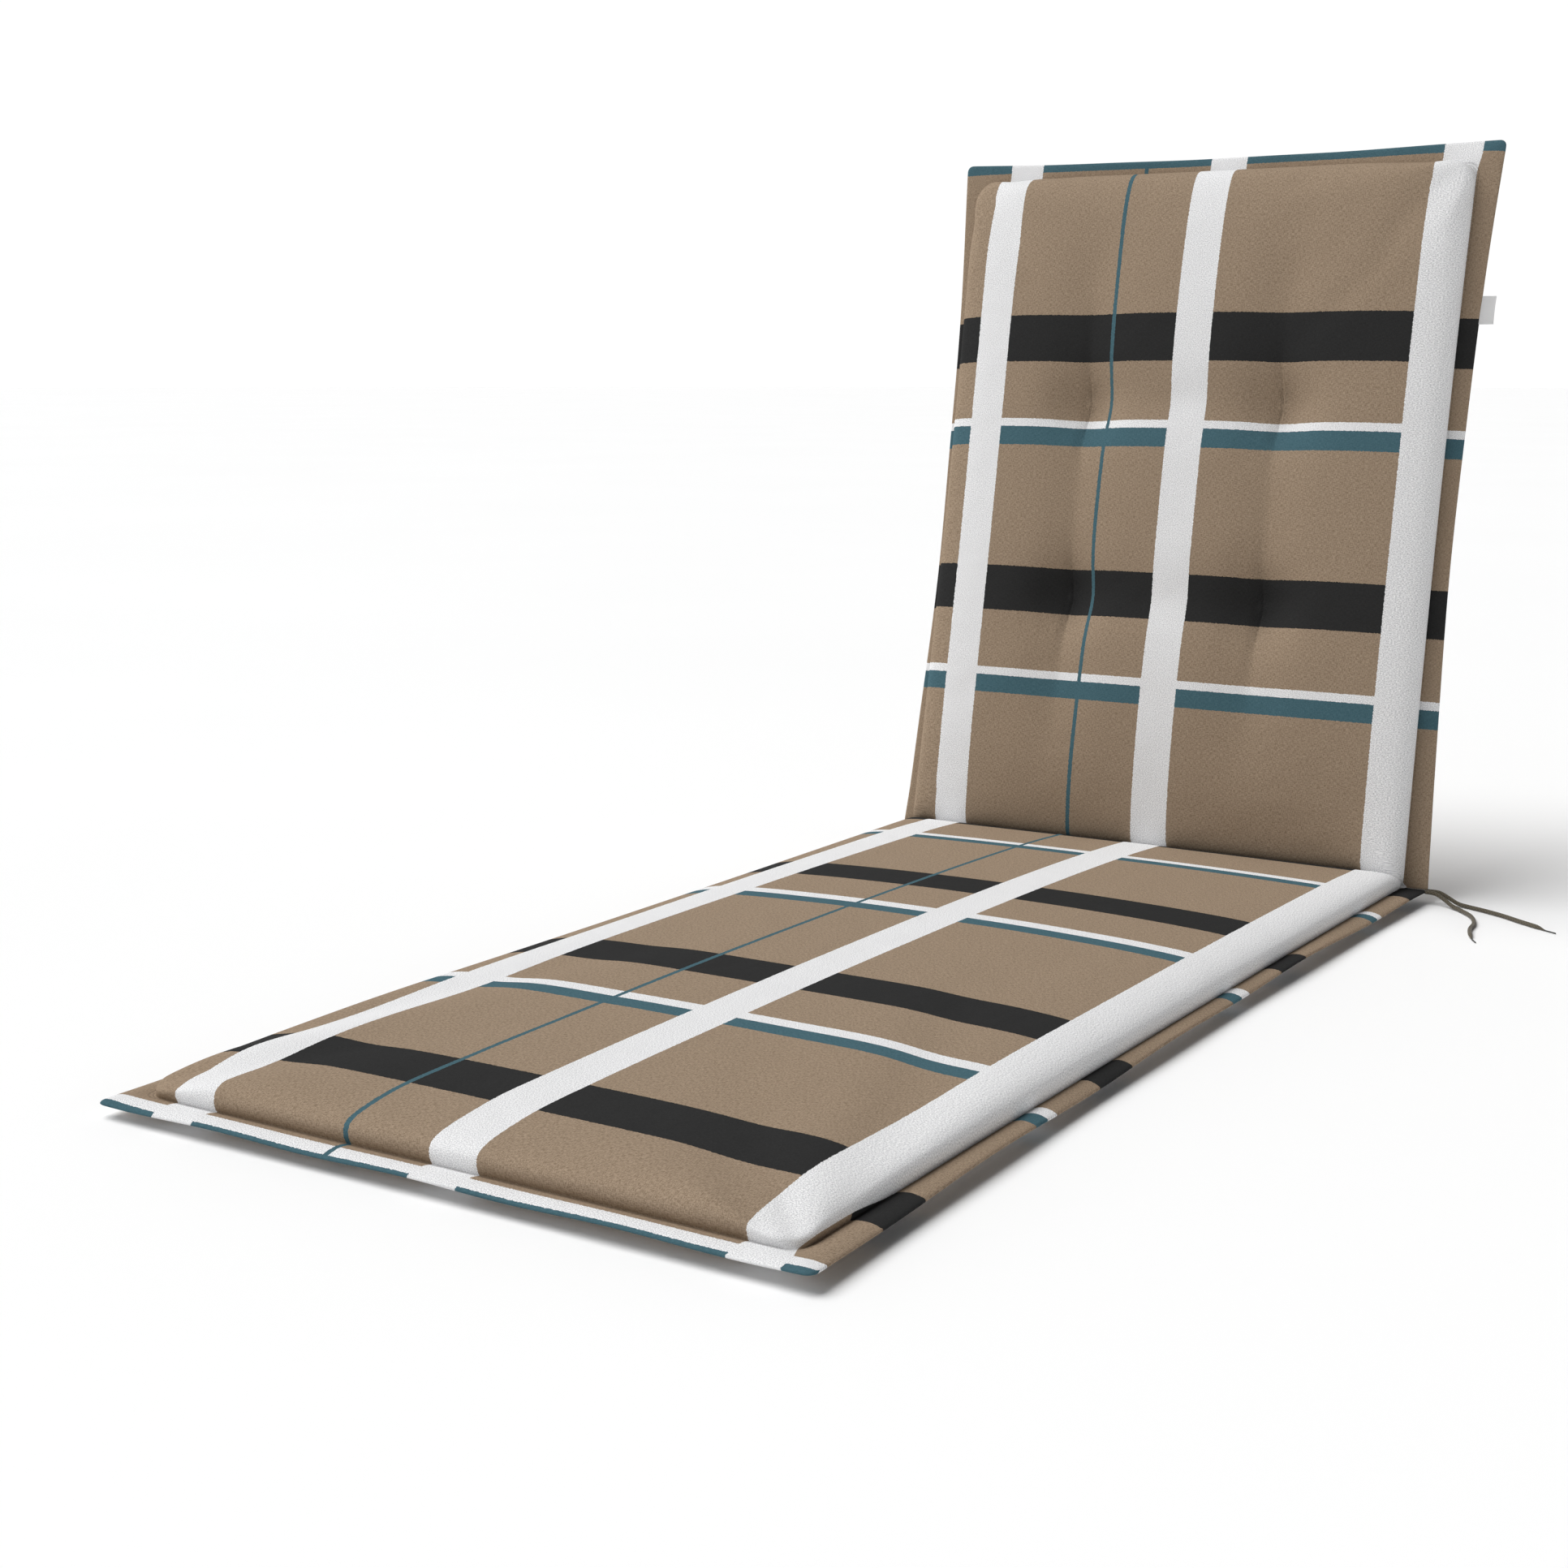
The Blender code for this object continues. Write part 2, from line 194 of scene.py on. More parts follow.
# Seam: a row of stitches beside it, darkened partly as thread and partly as painted shade, and a painted
# shade along the seam itself, by distance from the rim
STITCH_LINE = Band(0.0226, 0.0236)
STITCH_LENGTH = 0.0032
STITCH_GAP = 0.0009
STITCH_SHARE = 0.30
GROOVE_SHADE_LINE = Band(0.0251, 0.0264)
GROOVE_SHADE_SHARE = 0.28
# Dark colour of the stitches, partly thread and partly painted shade, and of the painted shade along the
# seam
SEAM_THREAD_AND_SHADE = (0.02, 0.018, 0.015, 1.0)

# Relief of the cloth
RUMPLE_SCALE = 22.0
RUMPLE_DEPTH = 0.0016
CREASE_DEPTH = 0.0026
STITCH_DEPTH = 0.0006
THREAD_DEPTH = 0.0004
THREAD_STRENGTH = 0.45
TUFT_CREASES = (
    Crease(0.0026, 0.030, -0.9),
    Crease(0.0090, 0.070, -1.6),
    Crease(0.0045, 0.0050, 1.0),
)

# Braid of the tie and ribs of the tab: the real ribs are 0.2 mm apart, drawn coarser so that they show
BRAID_TURN = 0.0024
BRAID_SLANT = math.radians(40.0)
BRAID_DEPTH = 0.0004
RIB_STEP = 0.0007
RIB_DEPTH = 0.0002
TAPE_GRAIN_SCALE = 600.0

# Routes of the tie's free ends in the hinge line's frame: x, y and height over the surface
TIE_LONG_ROUTE = (
    (0.2990, -0.0060, 0.0120),
    (0.3100, -0.0075, 0.0115),
    (0.3200, -0.0110, 0.0075),
    (0.3300, -0.0170, 0.0034),
    (0.3400, -0.0250, 0.0024),
    (0.3560, -0.0450, 0.0024),
    (0.3660, -0.0700, 0.0024),
    (0.3700, -0.0980, 0.0024),
    (0.3790, -0.1250, 0.0024),
    (0.3870, -0.1390, 0.0024),
)
TIE_SHORT_ROUTE = (
    (0.2990, -0.0004, 0.0120),
    (0.3110, 0.0004, 0.0115),
    (0.3210, -0.0004, 0.0075),
    (0.3310, -0.0026, 0.0034),
    (0.3420, -0.0060, 0.0024),
    (0.3620, -0.0150, 0.0024),
    (0.3830, -0.0270, 0.0024),
    (0.4040, -0.0420, 0.0024),
    (0.4260, -0.0560, 0.0024),
    (0.4410, -0.0640, 0.0024),
)
TIE_SAMPLES = 40
TIE_SPACING = 0.0020
TIE_SIDES = 14
TAIL_LENGTH = 0.012
TAIL_TAPER = 0.014
TAIL_SHARE = 0.30
TAIL_EDGE = 0.001

# Studio: a wide floor, a large soft light from the upper left, and a bright band along the horizon
CAMERA_LENS = 52.43
CAMERA_SENSOR = 36.0
CAMERA_PLACE = (0.9457, -1.7037, 0.5255)
CAMERA_FORWARD = (-0.5276, 0.8303, -0.1796)
FLOOR_RADIUS = 60.0
FLOOR_SIDES = 96
FLOOR_MOTTLE_SCALE = 0.8
SUN_DIRECTION = (-0.45, -0.17, 0.88)
SUN_SPREAD = math.radians(50.0)
BRIGHT_BELOW = math.sin(math.radians(12.0))
DIM_ABOVE = math.sin(math.radians(24.0))
SKY_SIDES = 0.6

# Label: a folded tape, open at its root inside the border, and slightly bowed
LABEL_LENGTH = 0.028
LABEL_REACH = 0.0138
LABEL_MIDDLE = 0.5785
LABEL_SETBACK = 0.0015
LABEL_ROOT = -0.0040
LABEL_GAP = 0.00008
LABEL_BOW = 0.0012
LABEL_BOW_TURN = 0.4
LABEL_STEPS = 14
LABEL_FOLD_STEPS = 8

HINGE_LINE = Matrix.Translation((-FOOTPRINT_MIDDLE[0], -FOOTPRINT_MIDDLE[1], BORDER_HEIGHT))
BACK_FRAME = HINGE_LINE @ Matrix.Rotation(math.pi / 2 - RECLINE, 4, "X")


def linear(hex_colour):
    """Turns an sRGB hex colour into linear red, green and blue."""
    parts = [int(hex_colour[start:start + 2], 16) / 255 for start in (1, 3, 5)]
    return tuple(part / 12.92 if part <= 0.04045 else ((part + 0.055) / 1.055) ** 2.4 for part in parts)


# Shape of the pads

def smooth_step(low, high, value):
    """Rises smoothly from 0 at low to 1 at high."""
    share = min(max((value - low) / (high - low), 0.0), 1.0)
    return share * share * (3.0 - 2.0 * share)


def bell(distance, width):
    """A soft bump of height 1 with the given width."""
    return math.exp(-((distance / width) ** 2))


def draw_in_at(pad, along):
    """How far the border's side edge is drawn in, at a distance from the hinge."""
    return EDGE_DRAW_IN * (1.0 - (2.0 * along / pad.length - 1.0) ** 2)


def warp(pad, ring, x, along):
    """Draws the sides in and hollows the free end, leaving the corners standing out as ears."""
    half = WIDTH / 2
    narrowed = x * (1.0 - ring.draw_in * draw_in_at(pad, along) / half)
    hollow = pad.end_sag * ring.draw_in * (1.0 - (x / half) ** 2) * (along / pad.length) ** END_SAG_POWER
    return narrowed, along - hollow


def crown_at(pad, x, along):
    """Height of the filled crown over the shoulder."""
    across = min(abs(x) / (WIDTH / 2 - BORDER_WIDTH), 1.0)
    lengthwise = min(abs(2.0 * along / pad.length - 1.0), 1.0)
    return pad.crown * (1.0 - across ** CROSSWISE_CROWN_POWER) * (1.0 - lengthwise ** pad.crown_power)


def tufting_at(x, along):
    """How deep the tufts of the back pull the cloth: dimples, troughs, valleys and a wide hollow."""
    low, high = TROUGH_SPAN
    low_fade, high_fade = TROUGH_FADES
    trough_reach = smooth_step(low, low + low_fade, along)
    trough_reach *= 1.0 - smooth_step(high - high_fade, high, along)
    valley_reach = 1.0 - smooth_step(VALLEY_REACH - VALLEY_FADE, VALLEY_REACH, abs(x))
    depth = HOLLOW_DEPTH * bell(math.hypot(x, along - HOLLOW_MIDDLE), HOLLOW_RADIUS)
    for column in TUFT_COLUMNS:
        depth += TROUGH_DEPTH * trough_reach * bell(x - column, TROUGH_WIDTH)
    for row in TUFT_ROWS:
        depth += VALLEY_DEPTH * valley_reach * bell(along - row, VALLEY_WIDTH)
        for column in TUFT_COLUMNS:
            depth += TUFT_DEPTH * bell(math.hypot(x - column, along - row), TUFT_RADIUS)
    return depth


def border_bend(pad, inset, x, along):
    """Arch and droop of the border between seam and rim, with a soft wave along it."""
    share = max(0.0, 1.0 - inset / BORDER_WIDTH)
    waves = sum(wave.height * math.sin(wave.across * x + wave.along * along) for wave in BORDER_WAVES)
    arched = pad.arch * (1.0 - (2.0 * share - 1.0) ** 2)
    return ((waves - pad.droop) * share ** BORDER_CURL + arched) * smooth_step(0.0, HINGE_FLAT, along)


def fullness_at(pad, x, along):
    """Share of the filling's height that is left: 1 but for the pinched free corners."""
    beside = WIDTH / 2 - BORDER_WIDTH - abs(x)
    before = pad.length - BORDER_WIDTH - along
    return 1.0 - pad.pinch * bell(math.hypot(beside, before), PINCH_REACH)


def parting_limit(pad, along):
    """Height under which the pad stays clear of the other pad at the hinge."""
    angle = PARTING_ANGLE if pad is SEAT else math.pi / 2 + RECLINE - PARTING_ANGLE
    return along * math.tan(angle) - PARTING_GAP / (2.0 * math.cos(angle))


def upper_point(pad, ring, x, along):
    """A point of the upper side in the pad's plane frame."""
    warped_x, warped_along = warp(pad, ring, x, along)
    height = BORDER_THICKNESS / 2 + border_bend(pad, ring.inset, x, along)
    pulled = tufting_at(x, along) if pad is BACK else 0.0
    filled = fullness_at(pad, x, along) * (pad.shoulder + crown_at(pad, x, along) - pulled)
    height += ring.height * filled
    return Vector((warped_x, pad.direction * warped_along, min(height, parting_limit(pad, along))))


def lower_point(pad, ring, x, along):
    """A point of the underside in the pad's plane frame."""
    warped_x, warped_along = warp(pad, ring, x, along)
    height = -BORDER_THICKNESS / 2 + border_bend(pad, ring.inset, x, along)
    height -= ring.height * UNDERSIDE_DEPTH
    return Vector((warped_x, pad.direction * warped_along, max(height, -BORDER_HEIGHT)))


def curve_between(before, start, finish, after, share):
    """A value on the smooth curve through four neighbours, between the middle two."""
    return 0.5 * (2 * start + (finish - before) * share
                  + (2 * before - 5 * start + 4 * finish - after) * share ** 2
                  + (3 * start - before - 3 * finish + after) * share ** 3)


def finer_rings(rings):
    """Adds a ring between each two: straight over the border, on a smooth curve over the wall."""
    fine = []
    for index, (ring, following) in enumerate(zip(rings, rings[1:])):
        fine.append(ring)
        if index < SEAM_RING:
            middle = [(one + other) / 2 for one, other in zip(ring, following)]
        else:
            before = rings[max(index - 1, SEAM_RING)]
            after = rings[min(index + 2, len(rings) - 1)]
            middle = [curve_between(*four, 0.5) for four in zip(before, ring, following, after)]
        fine.append(Ring(*middle))
    fine.append(rings[-1])
    return fine


def side_steps(low, high, count):
    """Even steps from low to high."""
    return [low + (high - low) * step / count for step in range(count + 1)]


def ring_plan(pad, ring):
    """Plan points of one ring, each with how much it belongs to a side wall rather than an end wall."""
    half = WIDTH / 2 - ring.inset
    near = getattr(ring, pad.hinge_column)
    far = pad.length - ring.inset
    near_corner = HINGE_CORNER_SHARE * ring.corner
    sides = (
        [(x, near, 0.0) for x in side_steps(-half + near_corner, half - near_corner, STEPS_ACROSS)],
        [(half, along, 1.0) for along in side_steps(near + near_corner, far - ring.corner, pad.rows)],
        [(x, far, 0.0) for x in side_steps(half - ring.corner, -half + ring.corner, STEPS_ACROSS)],
        [(-half, along, 1.0) for along in side_steps(far - ring.corner, near + near_corner, pad.rows)],
    )
    corners = (
        (half - near_corner, near + near_corner, near_corner, -90.0),
        (half - ring.corner, far - ring.corner, ring.corner, 0.0),
        (-half + ring.corner, far - ring.corner, ring.corner, 90.0),
        (-half + near_corner, near + near_corner, near_corner, 180.0),
    )
    plan = []
    for side, (middle_x, middle_along, radius, start) in zip(sides, corners):
        plan += side
        for step in range(1, CORNER_STEPS):
            angle = math.radians(start + 90.0 * step / CORNER_STEPS)
            across, ahead = math.cos(angle), math.sin(angle)
            plan.append((middle_x + radius * across, middle_along + radius * ahead, across ** 2))
    return plan


def cloth_reach(rings, depth):
    """For each ring: its share of the way down the wall, its reach over the border, and how much longer
    the cloth is than the plan."""
    distances = [0.0]
    for inner, outer in zip(rings[::-1], rings[-2::-1]):
        rise = (inner.height - outer.height) * depth
        distances.append(distances[-1] + math.hypot(inner.inset - outer.inset, rise))
    distances.reverse()
    seam = next(index for index, ring in enumerate(rings) if ring.inset == BORDER_WIDTH)
    reach = []
    for index, ring in enumerate(rings):
        slack = distances[index] - (rings[-1].inset - ring.inset)
        if index < seam:
            reach.append((1.0, BORDER_WIDTH - ring.inset, slack))
        else:
            reach.append((distances[index] / distances[seam], 0.0, slack))
    return reach


def band_place(pad, x, along):
    """Distance from the hinge on the cloth, whose hem is turned further under between the free corners."""
    turned = 1.0 - min(abs(x) / (WIDTH / 2), 1.0) ** HEM_POWER
    return along - pad.hem * turned * smooth_step(pad.length - HEM_REACH, pad.length, along)


def cover_side(mesh, pad, rings, place, depth, coordinates):
    """Adds one side of the cover, noting each vertex's place on the cloth; returns its loops of vertices."""
    flat_half = WIDTH / 2 - rings[-1].inset
    loops = []
    for ring, (share, beyond, slack) in zip(rings[:-1], cloth_reach(rings, depth)):
        loop = []
        half = WIDTH / 2 - ring.inset
        for x, along, side in ring_plan(pad, ring):
            vertex = mesh.verts.new(place(pad, ring, x, along))
            seam = SEAM_ACROSS
            if pad is SEAT:
                seam += FOOT_EXTRA_CLOTH * smooth_step(*FOOT_EXTRA_SPAN, along)
            extra = flat_half + share * (seam - flat_half) + beyond - half
            edge = ring.inset if beyond else BORDER_WIDTH + 1.0 - share
            across = x + math.copysign(side, x) * extra
            ahead = along + math.copysign(1.0 - side, along - pad.length / 2) * slack
            coordinates[vertex] = {"cloth": (across, band_place(pad, x, along)), "weave": (across, ahead),
                                   "seam": (x + along, edge)}
            loop.append(vertex)
        loops.append(loop)
    last = rings[-1]
    columns = side_steps(-flat_half, flat_half, STEPS_ACROSS)
    rows = side_steps(getattr(last, pad.hinge_column), pad.length - last.inset, pad.rows)
    grid = []
    for along in rows:
        line = []
        for x in columns:
            vertex = mesh.verts.new(place(pad, last, x, along))
            coordinates[vertex] = {"cloth": (x, along), "weave": (x, along), "seam": (x + along, 1.0)}
            line.append(vertex)
        grid.append(line)
    for lower, upper in zip(grid, grid[1:]):
        for left in range(STEPS_ACROSS):
            mesh.faces.new((lower[left], lower[left + 1], upper[left + 1], upper[left]))
    edge = []
    for side in (grid[0], [row[-1] for row in grid], grid[-1][::-1], [row[0] for row in grid][::-1]):
        edge += side + [side[-1]] * (CORNER_STEPS - 1)
    loops.append(edge)
    for outer, inner in zip(loops, loops[1:]):
        bridge(mesh, outer, inner)
    return loops


def bridge(mesh, outer, inner):
    """Joins two rings with faces, as triangles where corner points fall together."""
    for index in range(len(outer)):
        following = (index + 1) % len(outer)
        corners = []
        for vertex in (outer[index], outer[following], inner[following], inner[index]):
            if vertex not in corners:
                corners.append(vertex)
        if len(corners) > 2:
            mesh.faces.new(corners)


def make_cover(pad, name):
    """Builds a pad's closed cover with its cloth coordinates, and returns it with the sewn vertices."""
    mesh = bmesh.new()
    coordinates = {}
    upper = finer_rings(UPPER_RINGS)
    lower = finer_rings(LOWER_RINGS)
    upper_loops = cover_side(mesh, pad, upper, upper_point, pad.shoulder, coordinates)
    upper_count = len(mesh.verts)
    lower_loops = cover_side(mesh, pad, lower, lower_point, UNDERSIDE_DEPTH, coordinates)
    bridge(mesh, upper_loops[0], lower_loops[0])
    bmesh.ops.recalc_face_normals(mesh, faces=mesh.faces)
    crease = mesh.edges.layers.float.new("crease_edge")
    for loops in (upper_loops, lower_loops):
        seam = set(loops[2 * SEAM_RING])
        for vertex in seam:
            for edge in vertex.link_edges:
                if edge.other_vert(vertex) in seam:
                    edge[crease] = SEAM_CREASE
    for kind in UV_MAPS:
        mesh.loops.layers.uv.new(kind)
    for kind in UV_MAPS:
        layer = mesh.loops.layers.uv[kind]
        for face in mesh.faces:
            for loop in face.loops:
                loop[layer].uv = coordinates[loop.vert][kind]
    mesh.verts.index_update()
    border = {vertex.index for loop in upper_loops[:2 * SEAM_RING + 1] for vertex in loop}
    sewn = sorted(border | set(range(upper_count, len(mesh.verts))))
    data = bpy.data.meshes.new(name)
    mesh.to_mesh(data)
    mesh.free()
    cover = bpy.data.objects.new(name, data)
    bpy.context.scene.collection.objects.link(cover)
    return cover, sewn


def points_of(data):
    """The mesh's vertices as an array."""
    flat = np.empty(3 * len(data.vertices), dtype=np.float64)
    data.vertices.foreach_get("co", flat)
    return flat.reshape(-1, 3)


def set_points(data, points):
    """Moves the mesh's vertices to the given places."""
    data.vertices.foreach_set("co", points.astype(np.float32).ravel())
    data.update()


def spread_out(data, values):
    """Evens the vertices' values out among neighbours until only their broad course is left."""
    ends = np.empty(2 * len(data.edges), dtype=np.int32)
    data.edges.foreach_get("vertices", ends)
    first, second = ends.reshape(-1, 2).T
    count = len(values)
    neighbours = (np.bincount(first, minlength=count) + np.bincount(second, minlength=count))[:, None]
    for _ in range(SPREAD_ROUNDS):
        total = np.stack([np.bincount(first, values[second, axis], count)
                          + np.bincount(second, values[first, axis], count) for axis in range(3)], axis=1)
        values = 0.5 * values + 0.5 * total / neighbours
    return values


def fill_cover(pad, cover, sewn):
    """Swells the cover as real cloth around its filling, holding what is sewn."""
    start = points_of(cover.data)
    held = set(sewn)
    held.update(np.flatnonzero(np.abs(start[:, 1]) < HINGE_FLAT).tolist())
    if pad is BACK:
        for column in TUFT_COLUMNS:
            for row in TUFT_ROWS:
                near = np.hypot(start[:, 0] - column, start[:, 1] - row) < TUFT_HOLD_RADIUS
                held.update(np.flatnonzero(near).tolist())
    group = cover.vertex_groups.new(name="sewn")
    group.add(sorted(held), 1.0, "REPLACE")
    cloth = cover.modifiers.new("filling", "CLOTH")
    settings = cloth.settings
    settings.quality = FILL_QUALITY
    settings.mass = FILL_MASS
    settings.tension_stiffness = FILL_STIFFNESS
    settings.compression_stiffness = FILL_STIFFNESS
    settings.bending_stiffness = FILL_BENDING
    settings.vertex_group_mass = group.name
    settings.use_pressure = True
    settings.uniform_pressure_force = FILL_PRESSURE
    settings.effector_weights.gravity = 0.0
    cloth.collision_settings.use_collision = False
    cloth.point_cache.frame_start = 1
    cloth.point_cache.frame_end = FILL_FRAMES
    scene = bpy.context.scene
    for number in range(1, FILL_FRAMES + 1):
        scene.frame_set(number)
    settled = points_of(cover.evaluated_get(bpy.context.evaluated_depsgraph_get()).data)
    cover.modifiers.remove(cloth)
    cover.vertex_groups.remove(group)
    scene.frame_set(1)
    move = settled - start
    swelling = spread_out(cover.data, move)
    move = WRINKLE_SHARE * (move - swelling) + SWELL_SHARE * swelling
    length = np.maximum(np.linalg.norm(move, axis=1, keepdims=True), 1e-9)
    capped = FILL_CAP * np.tanh(length / FILL_CAP)
    set_points(cover.data, start + move / length * capped)


def subdivide(cover):
    """Applies one smooth subdivision to the cover."""
    modifier = cover.modifiers.new("smooth", "SUBSURF")
    modifier.levels = 1
    modifier.render_levels = 1
    modifier.uv_smooth = "PRESERVE_BOUNDARIES"
    finer = bpy.data.meshes.new_from_object(cover.evaluated_get(bpy.context.evaluated_depsgraph_get()))
    cover.modifiers.remove(modifier)
    old = cover.data
    name = old.name
    cover.data = finer
    bpy.data.meshes.remove(old)
    finer.name = name


# Materials

COLOUR_MIX = ("ShaderNodeMix", {"data_type": "RGBA"})
WAVE_RATE = 20.0


def add_node(tree, kind, settings=None, inputs=None):
    """Adds a node, sets its properties, and gives each named input a value or a link."""
    node = tree.nodes.new(kind)
    for name, value in (settings or {}).items():
        setattr(node, name, value)
    for name, value in (inputs or {}).items():
        if isinstance(value, bpy.types.NodeSocket):
            tree.links.new(value, node.inputs[name])
        else:
            node.inputs[name].default_value = value
    return node


def add_row(tree, value, *steps, kind="ShaderNodeMath"):
    """Passes a value through a row of nodes, each given as its operation and its other inputs."""
    for operation, *others in steps:
        inputs = dict(enumerate((value, *others)))
        value = add_node(tree, kind, {"operation": operation}, inputs).outputs[0]
    return value


def new_material(name):
    """Makes a material and returns it with its tree and its Principled shader."""
    material = bpy.data.materials.new(name)
    material.use_nodes = True
    return material, material.node_tree, material.node_tree.nodes["Principled BSDF"]


def band_mask(tree, coordinate, bands):
    """A mask that is 1 inside any of the bands."""
    mask = None
    for band in bands:
        middle, half = (band.low + band.high) / 2, (band.high - band.low) / 2
        inside = add_row(tree, coordinate, ("COMPARE", middle, half))
        mask = inside if mask is None else add_row(tree, mask, ("MAXIMUM", inside))
    return mask


def wave_scale(period):
    """Scale of a wave texture whose crests are this far apart."""
    return math.tau / WAVE_RATE / period


def thread_noise(tree, coordinate, across_length, along_length, detail):
    """Noise drawn out along one thread direction, with the given lengths across and along the cloth."""
    stretched = add_node(tree, "ShaderNodeMapping", {"vector_type": "POINT"}, {
        "Vector": coordinate, "Scale": (1.0 / across_length, 1.0 / along_length, 1.0),
    }).outputs[0]
    return add_node(tree, "ShaderNodeTexNoise", {"noise_dimensions": "2D"}, {
        "Vector": stretched, "Scale": 1.0, "Detail": detail, "Roughness": 0.6,
    }).outputs["Fac"]


def soft_line(tree, distance, width):
    """A soft ridge that is 1 where the distance is 0 and fades over the given width."""
    scaled = add_row(tree, distance, ("DIVIDE", width))
    return add_row(tree, scaled, ("MULTIPLY", scaled), ("MULTIPLY", -1.0), ("EXPONENT",))


def tuft_creases(tree, across, along):
    """Folds that run up and down through each tuft, with a small knot of cloth in the middle."""
    column = max(TUFT_COLUMNS)
    middle = sum(TUFT_ROWS) / 2
    reach = max(TUFT_ROWS) - middle
    beside = add_row(tree, across, ("ABSOLUTE",), ("SUBTRACT", column))
    above = add_row(tree, along, ("SUBTRACT", middle), ("ABSOLUTE",), ("SUBTRACT", reach))
    height = 0.0
    for crease in TUFT_CREASES:
        ridge = soft_line(tree, beside, crease.width)
        height = add_row(tree, ridge, ("MULTIPLY", soft_line(tree, above, crease.length)),
                         ("MULTIPLY_ADD", crease.depth, height))
    return height


def woven_plaid(name, black, white, teal, tufted):
    """Yarn-dyed cotton and polyester canvas, plain woven and matt.

    The eye gets solid bands with slightly ragged edges, short light and dark threads both ways, and no
    highlight.
    """
    colours = bpy.context.scene.cushion_cloth
    material, tree, shader = new_material(name)
    place = add_node(tree, "ShaderNodeUVMap", {"uv_map": "cloth"}).outputs[0]
    weave = add_node(tree, "ShaderNodeUVMap", {"uv_map": "weave"}).outputs[0]

    # Ragged band edges: the coordinate wavers by about one thread
    waver = add_node(tree, "ShaderNodeTexNoise", {"noise_dimensions": "2D"}, {
        "Vector": weave, "Scale": EDGE_WAVER_SCALE, "Detail": 1.0,
    }).outputs["Color"]
    wavered = add_row(tree, waver, ("SUBTRACT", (0.5, 0.5, 0.5)),
                      ("MULTIPLY_ADD", (EDGE_WAVER, EDGE_WAVER, 0.0), place), kind="ShaderNodeVectorMath")
    parts = add_node(tree, "ShaderNodeSeparateXYZ", {}, {0: wavered})
    across, along = parts.outputs[0], parts.outputs[1]

    # Threads both ways in the dyed bands, and finer specks in the white ones
    weft = thread_noise(tree, weave, WEFT_LENGTH, THREAD_STEP, 2.0)
    both = add_row(tree, weft, ("ADD", thread_noise(tree, weave, THREAD_STEP, WARP_LENGTH, 2.0)))
    fleck = add_node(tree, "ShaderNodeMapRange", {}, {
        "Value": both, "From Min": 0.80, "From Max": 1.20, "To Min": 0.0, "To Max": 1.0,
    }).outputs[0]
    speckle = thread_noise(tree, weave, *SPECK_SIZE, 3.0)
    speckles = add_node(tree, "ShaderNodeMapRange", {}, {
        "Value": speckle, "From Min": 0.36, "From Max": 0.64, "To Min": 0.0, "To Max": 1.0,
    }).outputs[0]

    yarns = {}
    for yarn, share in (("ground", fleck), ("black", fleck), ("teal", fleck), ("white", speckles)):
        dark, light = ((*getattr(colours, f"{yarn}_{shade}"), 1.0) for shade in ("dark", "light"))
        yarns[yarn] = add_node(tree, *COLOUR_MIX, {0: share, 6: dark, 7: light}).outputs[2]
    colour = yarns["ground"]
    stripes = ((along, black, "black"), (along, white, "white"), (along, teal, "teal"),
               (across, TEAL_STRIPES, "teal"), (across, WHITE_STRIPES, "white"))
    for coordinate, bands, yarn in stripes:
        mask = band_mask(tree, coordinate, bands)
        colour = add_node(tree, *COLOUR_MIX, {0: mask, 6: colour, 7: yarns[yarn]}).outputs[2]

    # Stitches beside the seam, sunk into the border and darkened partly as thread and partly as painted
    # shade, and a painted shade along the seam itself
    seam_place = add_node(tree, "ShaderNodeUVMap", {"uv_map": "seam"}).outputs[0]
    seam_parts = add_node(tree, "ShaderNodeSeparateXYZ", {}, {0: seam_place})
    on_line = band_mask(tree, seam_parts.outputs[1], (STITCH_LINE,))
    stitches = add_row(tree, seam_parts.outputs[0], ("MODULO", STITCH_LENGTH), ("ABSOLUTE",),
                       ("GREATER_THAN", STITCH_GAP), ("MULTIPLY", on_line), ("MULTIPLY", STITCH_SHARE))
    # Painted shade: a dark line along the seam itself
    in_groove_shade = band_mask(tree, seam_parts.outputs[1], (GROOVE_SHADE_LINE,))
    groove_shade = add_row(tree, in_groove_shade, ("MULTIPLY", GROOVE_SHADE_SHARE))
    seam_darkening = add_row(tree, stitches, ("MAXIMUM", groove_shade))
    colour = add_node(tree, *COLOUR_MIX, {0: seam_darkening, 6: colour, 7: SEAM_THREAD_AND_SHADE}).outputs[2]
    tree.links.new(colour, shader.inputs["Base Color"])

    roughness = add_node(tree, "ShaderNodeMapRange", {}, {
        "Value": both, "From Min": 0.6, "From Max": 1.4, "To Min": 0.84, "To Max": 0.98,
    }).outputs[0]
    tree.links.new(roughness, shader.inputs["Roughness"])
    shader.inputs["Specular IOR Level"].default_value = CLOTH_SPECULAR

